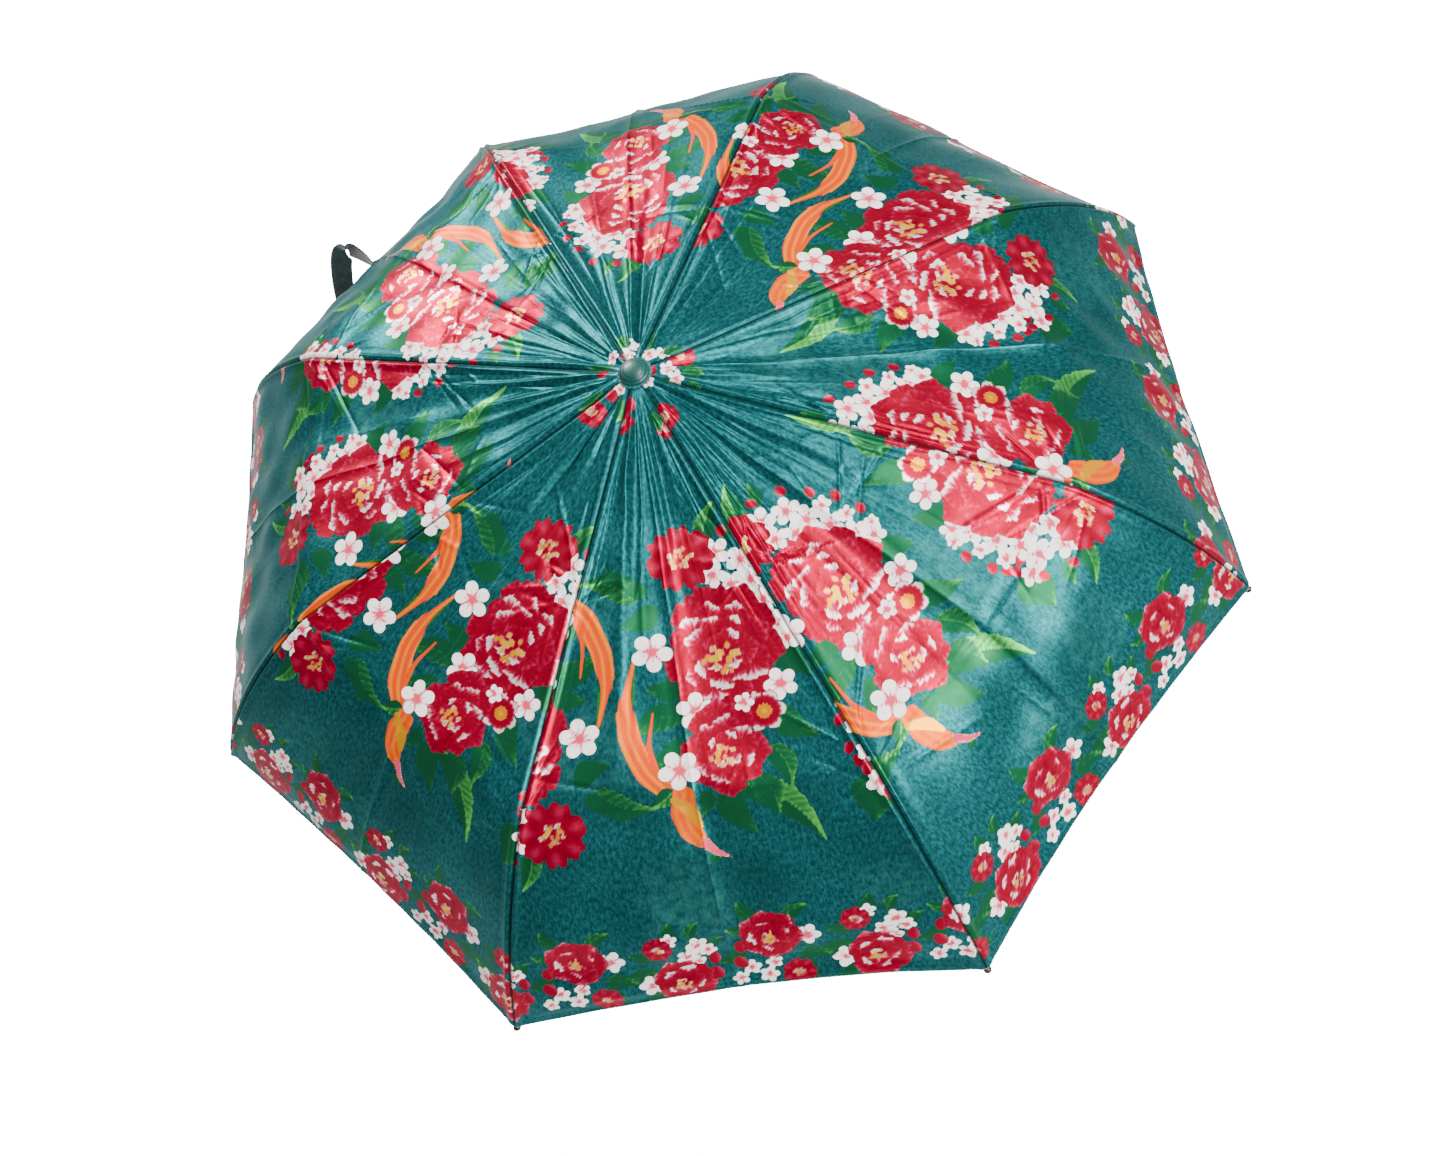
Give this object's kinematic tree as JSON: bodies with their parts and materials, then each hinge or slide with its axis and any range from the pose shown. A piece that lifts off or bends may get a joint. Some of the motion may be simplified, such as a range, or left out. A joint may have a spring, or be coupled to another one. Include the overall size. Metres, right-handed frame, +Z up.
{
  "type": "folding umbrella",
  "caption": "Open folding umbrella: a printed cloth canopy on three-fold steel ribs, a telescoping shaft with a sliding runner and a short moulded grip.",
  "frame": {"origin": "centre of the handle's flat end", "axes": "+Z up the shaft towards the cap, +X along rib 1; ribs are numbered clockwise seen from above"},
  "size_m": [0.9864, 0.9864, 0.5589],
  "materials": {
    "grip": "soft-touch moulded plastic",
    "bright_steel": "bright plated tube",
    "rib_steel": "plated spring steel",
    "nylon": "black moulded nylon",
    "cap": "polished teal plastic",
    "canopy_cloth": "teal satin with a printed flower pattern",
    "strap_cloth": "dark satin, the print's reverse side"
  },
  "bodies": {
    "handle": {"handle_grip": "grip", "handle_end_cap": "grip", "handle_pin": "bright_steel", "handle_collar": "bright_steel", "lower_tube": "bright_steel", "lower_bush": "nylon"},
    "middle_tube": {"middle_tube": "bright_steel", "middle_bush": "nylon"},
    "upper_tube": {"upper_tube": "bright_steel", "crown": "nylon", "crown_wire": "rib_steel", "cap": "cap", "hub_washer": "canopy_cloth", "canopy": "canopy_cloth", "closure_strap": "strap_cloth"},
    "runner": {"runner": "nylon", "runner_wire": "rib_steel"},
    "runner_button": {"runner_button": "cap"},
    "top_rib_1": {"top_rib_1": "rib_steel"},
    "stretcher_1": {"stretcher_1": "rib_steel"},
    "control_link_1": {"control_link_1": "rib_steel"},
    "middle_rib_1": {"middle_rib_1": "rib_steel"},
    "outer_rib_1": {"outer_rib_1": "rib_steel"},
    "top_rib_2": {"top_rib_2": "rib_steel"},
    "stretcher_2": {"stretcher_2": "rib_steel"},
    "control_link_2": {"control_link_2": "rib_steel"},
    "middle_rib_2": {"middle_rib_2": "rib_steel"},
    "outer_rib_2": {"outer_rib_2": "rib_steel"},
    "top_rib_3": {"top_rib_3": "rib_steel"},
    "stretcher_3": {"stretcher_3": "rib_steel"},
    "control_link_3": {"control_link_3": "rib_steel"},
    "middle_rib_3": {"middle_rib_3": "rib_steel"},
    "outer_rib_3": {"outer_rib_3": "rib_steel"},
    "top_rib_4": {"top_rib_4": "rib_steel"},
    "stretcher_4": {"stretcher_4": "rib_steel"},
    "control_link_4": {"control_link_4": "rib_steel"},
    "middle_rib_4": {"middle_rib_4": "rib_steel"},
    "outer_rib_4": {"outer_rib_4": "rib_steel"},
    "top_rib_5": {"top_rib_5": "rib_steel"},
    "stretcher_5": {"stretcher_5": "rib_steel"},
    "control_link_5": {"control_link_5": "rib_steel"},
    "middle_rib_5": {"middle_rib_5": "rib_steel"},
    "outer_rib_5": {"outer_rib_5": "rib_steel"},
    "top_rib_6": {"top_rib_6": "rib_steel"},
    "stretcher_6": {"stretcher_6": "rib_steel"},
    "control_link_6": {"control_link_6": "rib_steel"},
    "middle_rib_6": {"middle_rib_6": "rib_steel"},
    "outer_rib_6": {"outer_rib_6": "rib_steel"},
    "top_rib_7": {"top_rib_7": "rib_steel"},
    "stretcher_7": {"stretcher_7": "rib_steel"},
    "control_link_7": {"control_link_7": "rib_steel"},
    "middle_rib_7": {"middle_rib_7": "rib_steel"},
    "outer_rib_7": {"outer_rib_7": "rib_steel"},
    "top_rib_8": {"top_rib_8": "rib_steel"},
    "stretcher_8": {"stretcher_8": "rib_steel"},
    "control_link_8": {"control_link_8": "rib_steel"},
    "middle_rib_8": {"middle_rib_8": "rib_steel"},
    "outer_rib_8": {"outer_rib_8": "rib_steel"}
  },
  "joints": [
    {"name": "middle_tube_slide", "type": "slide", "parent": "handle", "child": "middle_tube", "axis": [0, 0, 1], "range_m": [-0.142, 0]},
    {"name": "upper_tube_slide", "type": "slide", "parent": "middle_tube", "child": "upper_tube", "axis": [0, 0, 1], "range_m": [-0.133, 0]},
    {"name": "runner_slide", "type": "slide", "parent": "upper_tube", "child": "runner", "axis": [0, 0, 1], "range_m": [-0.08324, 0], "deforming": ["canopy", "closure_strap"]},
    {"name": "runner_button_press", "type": "slide", "parent": "runner", "child": "runner_button", "axis": [0.9239, 0.3827, 0], "range_m": [-0.0014, 0], "stiffness_N_per_m": 300},
    {"name": "top_rib_1_hinge", "type": "hinge", "parent": "upper_tube", "child": "top_rib_1", "pos_m": [0.009, 0, 0.548], "axis": [0, -1, 0], "range_deg": [-75.3, 0]},
    {"name": "stretcher_1_hinge", "type": "hinge", "parent": "top_rib_1", "child": "stretcher_1", "pos_m": [0.07383, 0, 0.53563], "axis": [0, -1, 0], "range_deg": [0, 122.5]},
    {"name": "control_link_1_hinge", "type": "hinge", "parent": "stretcher_1", "child": "control_link_1", "pos_m": [0.06695, 0, 0.52983], "axis": [0, -1, 0], "range_deg": [-123.5, 0]},
    {"name": "middle_rib_1_hinge", "type": "hinge", "parent": "top_rib_1", "child": "middle_rib_1", "pos_m": [0.18581, 0, 0.51427], "axis": [0, -1, 0], "range_deg": [0, 176.5]},
    {"name": "outer_rib_1_hinge", "type": "hinge", "parent": "middle_rib_1", "child": "outer_rib_1", "pos_m": [0.33492, 0, 0.48475], "axis": [0, -1, 0], "range_deg": [-148.5, 0]},
    {"name": "top_rib_2_hinge", "type": "hinge", "parent": "upper_tube", "child": "top_rib_2", "pos_m": [0.00636, -0.00636, 0.548], "axis": [-0.7071, -0.7071, 0], "range_deg": [-75.3, 0]},
    {"name": "stretcher_2_hinge", "type": "hinge", "parent": "top_rib_2", "child": "stretcher_2", "pos_m": [0.05221, -0.05221, 0.53563], "axis": [-0.7071, -0.7071, 0], "range_deg": [0, 122.5]},
    {"name": "control_link_2_hinge", "type": "hinge", "parent": "stretcher_2", "child": "control_link_2", "pos_m": [0.04734, -0.04734, 0.52983], "axis": [-0.7071, -0.7071, 0], "range_deg": [-123.5, 0]},
    {"name": "middle_rib_2_hinge", "type": "hinge", "parent": "top_rib_2", "child": "middle_rib_2", "pos_m": [0.13139, -0.13139, 0.51427], "axis": [-0.7071, -0.7071, 0], "range_deg": [0, 176.5]},
    {"name": "outer_rib_2_hinge", "type": "hinge", "parent": "middle_rib_2", "child": "outer_rib_2", "pos_m": [0.23682, -0.23682, 0.48475], "axis": [-0.7071, -0.7071, 0], "range_deg": [-148.5, 0]},
    {"name": "top_rib_3_hinge", "type": "hinge", "parent": "upper_tube", "child": "top_rib_3", "pos_m": [0, -0.009, 0.548], "axis": [-1, 0, 0], "range_deg": [-75.3, 0]},
    {"name": "stretcher_3_hinge", "type": "hinge", "parent": "top_rib_3", "child": "stretcher_3", "pos_m": [0, -0.07383, 0.53563], "axis": [-1, 0, 0], "range_deg": [0, 122.5]},
    {"name": "control_link_3_hinge", "type": "hinge", "parent": "stretcher_3", "child": "control_link_3", "pos_m": [0, -0.06695, 0.52983], "axis": [-1, 0, 0], "range_deg": [-123.5, 0]},
    {"name": "middle_rib_3_hinge", "type": "hinge", "parent": "top_rib_3", "child": "middle_rib_3", "pos_m": [0, -0.18581, 0.51427], "axis": [-1, 0, 0], "range_deg": [0, 176.5]},
    {"name": "outer_rib_3_hinge", "type": "hinge", "parent": "middle_rib_3", "child": "outer_rib_3", "pos_m": [0, -0.33492, 0.48475], "axis": [-1, 0, 0], "range_deg": [-148.5, 0]},
    {"name": "top_rib_4_hinge", "type": "hinge", "parent": "upper_tube", "child": "top_rib_4", "pos_m": [-0.00636, -0.00636, 0.548], "axis": [-0.7071, 0.7071, 0], "range_deg": [-75.3, 0]},
    {"name": "stretcher_4_hinge", "type": "hinge", "parent": "top_rib_4", "child": "stretcher_4", "pos_m": [-0.05221, -0.05221, 0.53563], "axis": [-0.7071, 0.7071, 0], "range_deg": [0, 122.5]},
    {"name": "control_link_4_hinge", "type": "hinge", "parent": "stretcher_4", "child": "control_link_4", "pos_m": [-0.04734, -0.04734, 0.52983], "axis": [-0.7071, 0.7071, 0], "range_deg": [-123.5, 0]},
    {"name": "middle_rib_4_hinge", "type": "hinge", "parent": "top_rib_4", "child": "middle_rib_4", "pos_m": [-0.13139, -0.13139, 0.51427], "axis": [-0.7071, 0.7071, 0], "range_deg": [0, 176.5]},
    {"name": "outer_rib_4_hinge", "type": "hinge", "parent": "middle_rib_4", "child": "outer_rib_4", "pos_m": [-0.23682, -0.23682, 0.48475], "axis": [-0.7071, 0.7071, 0], "range_deg": [-148.5, 0]},
    {"name": "top_rib_5_hinge", "type": "hinge", "parent": "upper_tube", "child": "top_rib_5", "pos_m": [-0.009, 0, 0.548], "axis": [0, 1, 0], "range_deg": [-75.3, 0]},
    {"name": "stretcher_5_hinge", "type": "hinge", "parent": "top_rib_5", "child": "stretcher_5", "pos_m": [-0.07383, 0, 0.53563], "axis": [0, 1, 0], "range_deg": [0, 122.5]},
    {"name": "control_link_5_hinge", "type": "hinge", "parent": "stretcher_5", "child": "control_link_5", "pos_m": [-0.06695, 0, 0.52983], "axis": [0, 1, 0], "range_deg": [-123.5, 0]},
    {"name": "middle_rib_5_hinge", "type": "hinge", "parent": "top_rib_5", "child": "middle_rib_5", "pos_m": [-0.18581, 0, 0.51427], "axis": [0, 1, 0], "range_deg": [0, 176.5]},
    {"name": "outer_rib_5_hinge", "type": "hinge", "parent": "middle_rib_5", "child": "outer_rib_5", "pos_m": [-0.33492, 0, 0.48475], "axis": [0, 1, 0], "range_deg": [-148.5, 0]},
    {"name": "top_rib_6_hinge", "type": "hinge", "parent": "upper_tube", "child": "top_rib_6", "pos_m": [-0.00636, 0.00636, 0.548], "axis": [0.7071, 0.7071, 0], "range_deg": [-75.3, 0]},
    {"name": "stretcher_6_hinge", "type": "hinge", "parent": "top_rib_6", "child": "stretcher_6", "pos_m": [-0.05221, 0.05221, 0.53563], "axis": [0.7071, 0.7071, 0], "range_deg": [0, 122.5]},
    {"name": "control_link_6_hinge", "type": "hinge", "parent": "stretcher_6", "child": "control_link_6", "pos_m": [-0.04734, 0.04734, 0.52983], "axis": [0.7071, 0.7071, 0], "range_deg": [-123.5, 0]},
    {"name": "middle_rib_6_hinge", "type": "hinge", "parent": "top_rib_6", "child": "middle_rib_6", "pos_m": [-0.13139, 0.13139, 0.51427], "axis": [0.7071, 0.7071, 0], "range_deg": [0, 176.5]},
    {"name": "outer_rib_6_hinge", "type": "hinge", "parent": "middle_rib_6", "child": "outer_rib_6", "pos_m": [-0.23682, 0.23682, 0.48475], "axis": [0.7071, 0.7071, 0], "range_deg": [-148.5, 0]},
    {"name": "top_rib_7_hinge", "type": "hinge", "parent": "upper_tube", "child": "top_rib_7", "pos_m": [0, 0.009, 0.548], "axis": [1, 0, 0], "range_deg": [-75.3, 0]},
    {"name": "stretcher_7_hinge", "type": "hinge", "parent": "top_rib_7", "child": "stretcher_7", "pos_m": [0, 0.07383, 0.53563], "axis": [1, 0, 0], "range_deg": [0, 122.5]},
    {"name": "control_link_7_hinge", "type": "hinge", "parent": "stretcher_7", "child": "control_link_7", "pos_m": [0, 0.06695, 0.52983], "axis": [1, 0, 0], "range_deg": [-123.5, 0]},
    {"name": "middle_rib_7_hinge", "type": "hinge", "parent": "top_rib_7", "child": "middle_rib_7", "pos_m": [0, 0.18581, 0.51427], "axis": [1, 0, 0], "range_deg": [0, 176.5]},
    {"name": "outer_rib_7_hinge", "type": "hinge", "parent": "middle_rib_7", "child": "outer_rib_7", "pos_m": [0, 0.33492, 0.48475], "axis": [1, 0, 0], "range_deg": [-148.5, 0]},
    {"name": "top_rib_8_hinge", "type": "hinge", "parent": "upper_tube", "child": "top_rib_8", "pos_m": [0.00636, 0.00636, 0.548], "axis": [0.7071, -0.7071, 0], "range_deg": [-75.3, 0]},
    {"name": "stretcher_8_hinge", "type": "hinge", "parent": "top_rib_8", "child": "stretcher_8", "pos_m": [0.05221, 0.05221, 0.53563], "axis": [0.7071, -0.7071, 0], "range_deg": [0, 122.5]},
    {"name": "control_link_8_hinge", "type": "hinge", "parent": "stretcher_8", "child": "control_link_8", "pos_m": [0.04734, 0.04734, 0.52983], "axis": [0.7071, -0.7071, 0], "range_deg": [-123.5, 0]},
    {"name": "middle_rib_8_hinge", "type": "hinge", "parent": "top_rib_8", "child": "middle_rib_8", "pos_m": [0.13139, 0.13139, 0.51427], "axis": [0.7071, -0.7071, 0], "range_deg": [0, 176.5]},
    {"name": "outer_rib_8_hinge", "type": "hinge", "parent": "middle_rib_8", "child": "outer_rib_8", "pos_m": [0.23682, 0.23682, 0.48475], "axis": [0.7071, -0.7071, 0], "range_deg": [-148.5, 0]}
  ],
  "couplings": [
    {"joint": "top_rib_1_hinge", "follows": "runner_slide", "rad_per_m": 15.767},
    {"joint": "stretcher_1_hinge", "follows": "runner_slide", "rad_per_m": -25.651},
    {"joint": "control_link_1_hinge", "follows": "runner_slide", "rad_per_m": 25.87},
    {"joint": "middle_rib_1_hinge", "follows": "runner_slide", "rad_per_m": -36.985},
    {"joint": "outer_rib_1_hinge", "follows": "runner_slide", "rad_per_m": 31.114},
    {"joint": "top_rib_2_hinge", "follows": "runner_slide", "rad_per_m": 15.767},
    {"joint": "stretcher_2_hinge", "follows": "runner_slide", "rad_per_m": -25.651},
    {"joint": "control_link_2_hinge", "follows": "runner_slide", "rad_per_m": 25.87},
    {"joint": "middle_rib_2_hinge", "follows": "runner_slide", "rad_per_m": -36.985},
    {"joint": "outer_rib_2_hinge", "follows": "runner_slide", "rad_per_m": 31.114},
    {"joint": "top_rib_3_hinge", "follows": "runner_slide", "rad_per_m": 15.767},
    {"joint": "stretcher_3_hinge", "follows": "runner_slide", "rad_per_m": -25.651},
    {"joint": "control_link_3_hinge", "follows": "runner_slide", "rad_per_m": 25.87},
    {"joint": "middle_rib_3_hinge", "follows": "runner_slide", "rad_per_m": -36.985},
    {"joint": "outer_rib_3_hinge", "follows": "runner_slide", "rad_per_m": 31.114},
    {"joint": "top_rib_4_hinge", "follows": "runner_slide", "rad_per_m": 15.767},
    {"joint": "stretcher_4_hinge", "follows": "runner_slide", "rad_per_m": -25.651},
    {"joint": "control_link_4_hinge", "follows": "runner_slide", "rad_per_m": 25.87},
    {"joint": "middle_rib_4_hinge", "follows": "runner_slide", "rad_per_m": -36.985},
    {"joint": "outer_rib_4_hinge", "follows": "runner_slide", "rad_per_m": 31.114},
    {"joint": "top_rib_5_hinge", "follows": "runner_slide", "rad_per_m": 15.767},
    {"joint": "stretcher_5_hinge", "follows": "runner_slide", "rad_per_m": -25.651},
    {"joint": "control_link_5_hinge", "follows": "runner_slide", "rad_per_m": 25.87},
    {"joint": "middle_rib_5_hinge", "follows": "runner_slide", "rad_per_m": -36.985},
    {"joint": "outer_rib_5_hinge", "follows": "runner_slide", "rad_per_m": 31.114},
    {"joint": "top_rib_6_hinge", "follows": "runner_slide", "rad_per_m": 15.767},
    {"joint": "stretcher_6_hinge", "follows": "runner_slide", "rad_per_m": -25.651},
    {"joint": "control_link_6_hinge", "follows": "runner_slide", "rad_per_m": 25.87},
    {"joint": "middle_rib_6_hinge", "follows": "runner_slide", "rad_per_m": -36.985},
    {"joint": "outer_rib_6_hinge", "follows": "runner_slide", "rad_per_m": 31.114},
    {"joint": "top_rib_7_hinge", "follows": "runner_slide", "rad_per_m": 15.767},
    {"joint": "stretcher_7_hinge", "follows": "runner_slide", "rad_per_m": -25.651},
    {"joint": "control_link_7_hinge", "follows": "runner_slide", "rad_per_m": 25.87},
    {"joint": "middle_rib_7_hinge", "follows": "runner_slide", "rad_per_m": -36.985},
    {"joint": "outer_rib_7_hinge", "follows": "runner_slide", "rad_per_m": 31.114},
    {"joint": "top_rib_8_hinge", "follows": "runner_slide", "rad_per_m": 15.767},
    {"joint": "stretcher_8_hinge", "follows": "runner_slide", "rad_per_m": -25.651},
    {"joint": "control_link_8_hinge", "follows": "runner_slide", "rad_per_m": 25.87},
    {"joint": "middle_rib_8_hinge", "follows": "runner_slide", "rad_per_m": -36.985},
    {"joint": "outer_rib_8_hinge", "follows": "runner_slide", "rad_per_m": 31.114}
  ]
}
